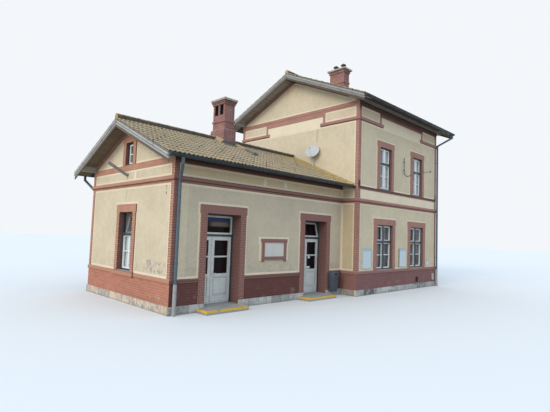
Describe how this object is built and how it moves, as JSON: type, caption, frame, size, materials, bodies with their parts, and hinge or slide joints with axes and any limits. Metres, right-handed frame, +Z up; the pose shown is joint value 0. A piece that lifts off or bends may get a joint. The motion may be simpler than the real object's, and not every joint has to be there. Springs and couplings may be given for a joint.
{
  "type": "railway station building",
  "caption": "Small country railway station: a low hall wing with double street doors and a taller gabled house block, cream plaster with red brick trim, tiled roofs",
  "frame": {"origin": "at ground level under the middle of the wall footprint, on the ridge line, on the underside of the hall floor", "axes": "+X along the ridge from the low wing to the tall block, +Y away from the door side, +Z up"},
  "size_m": [17.1028, 9.77, 12.0023],
  "materials": {
    "plaster": "warm cream roughcast with smooth light borders, slightly stained",
    "brick": "painted red-brown brick dressings, weathered",
    "base_stone": "pale limestone, weathered",
    "concrete": "plain floated concrete",
    "roof_tile": "sand-beige interlocking tiles with lichen",
    "roof_timber": "weathered grey boards",
    "gutter_sheet": "dark blue-green painted sheet, satin",
    "pipe_sheet": "blue-grey painted sheet pipe, satin",
    "chimney_brick": "red facing brick with grey lichen",
    "pot_metal": "dark sooty metal cowls",
    "frame_paint": "dark slate painted window frames",
    "white_paint": "pale grey-white gloss paint, worn",
    "door_frame_paint": "dark brown painted door frame",
    "window_pane": "clear glass, dark behind",
    "notice_case": "pale notice cases",
    "lamp_shell": "dull grey lamp housing",
    "dish_paint": "light grey painted dish",
    "galvanised": "galvanised tube",
    "bin_steel": "grey painted sheet steel"
  },
  "bodies": {
    "building": {"wing_floor": "concrete", "block_floor": "concrete", "upper_floor": "concrete", "attic_floor": "concrete", "stone_base": "base_stone", "wing_front_wall_left": "plaster", "wing_front_wall_middle": "plaster", "wing_front_wall_right": "plaster", "wing_front_wall_head": "plaster", "wing_gable_wall": "plaster", "wing_back_wall": "plaster", "block_side_wall": "plaster", "block_front_wall": "plaster", "block_back_wall": "plaster", "block_end_wall": "plaster", "brick_plinth": "brick", "string_course": "brick", "wing_brick_bands": "brick", "block_brick_bands": "brick", "block_cornice": "brick", "corner_panels": "brick", "door_surrounds": "brick", "ground_surrounds": "brick", "upper_surrounds": "brick", "wall_panel": "brick", "window_sills": "base_stone", "wing_roof_deck": "roof_timber", "block_roof_deck": "roof_timber", "wing_roof_tiles": "roof_tile", "block_roof_tiles": "roof_tile", "ridge_tiles": "roof_tile", "bargeboards": "roof_timber", "roof_purlins": "roof_timber", "gutters": "gutter_sheet", "downpipes": "pipe_sheet", "wing_chimney": "chimney_brick", "block_chimney": "chimney_brick", "chimney_pots": "pot_metal", "window_frames": "frame_paint", "window_sashes": "white_paint", "window_glass": "window_pane", "doorsteps": "concrete", "door_frames": "door_frame_paint", "door_lights": "white_paint", "door_light_glass": "window_pane", "notice_boards": "notice_case", "gable_lamp": "lamp_shell", "satellite_dish": "dish_paint", "aerial_arm": "galvanised", "litter_bin": "bin_steel"},
    "door_1_wide": {"door_1_wide_leaf": "white_paint", "door_1_wide_glass": "window_pane"},
    "door_1_narrow": {"door_1_narrow_leaf": "white_paint", "door_1_narrow_glass": "window_pane"},
    "door_2_wide": {"door_2_wide_leaf": "white_paint", "door_2_wide_glass": "window_pane"},
    "door_2_narrow": {"door_2_narrow_leaf": "white_paint", "door_2_narrow_glass": "window_pane"}
  },
  "joints": [
    {"name": "door_1_wide_swing", "type": "hinge", "parent": "building", "child": "door_1_wide", "pos_m": [-5.3185, -2.555, 0.14], "axis": [0, 0, -1], "range_deg": [0, 95]},
    {"name": "door_1_narrow_swing", "type": "hinge", "parent": "building", "child": "door_1_narrow", "pos_m": [-6.5715, -2.555, 0.14], "axis": [0, 0, 1], "range_deg": [0, 95]},
    {"name": "door_2_wide_swing", "type": "hinge", "parent": "building", "child": "door_2_wide", "pos_m": [-0.6985, -2.555, 0.14], "axis": [0, 0, -1], "range_deg": [0, 95]},
    {"name": "door_2_narrow_swing", "type": "hinge", "parent": "building", "child": "door_2_narrow", "pos_m": [-1.9515, -2.555, 0.14], "axis": [0, 0, 1], "range_deg": [0, 95]}
  ]
}
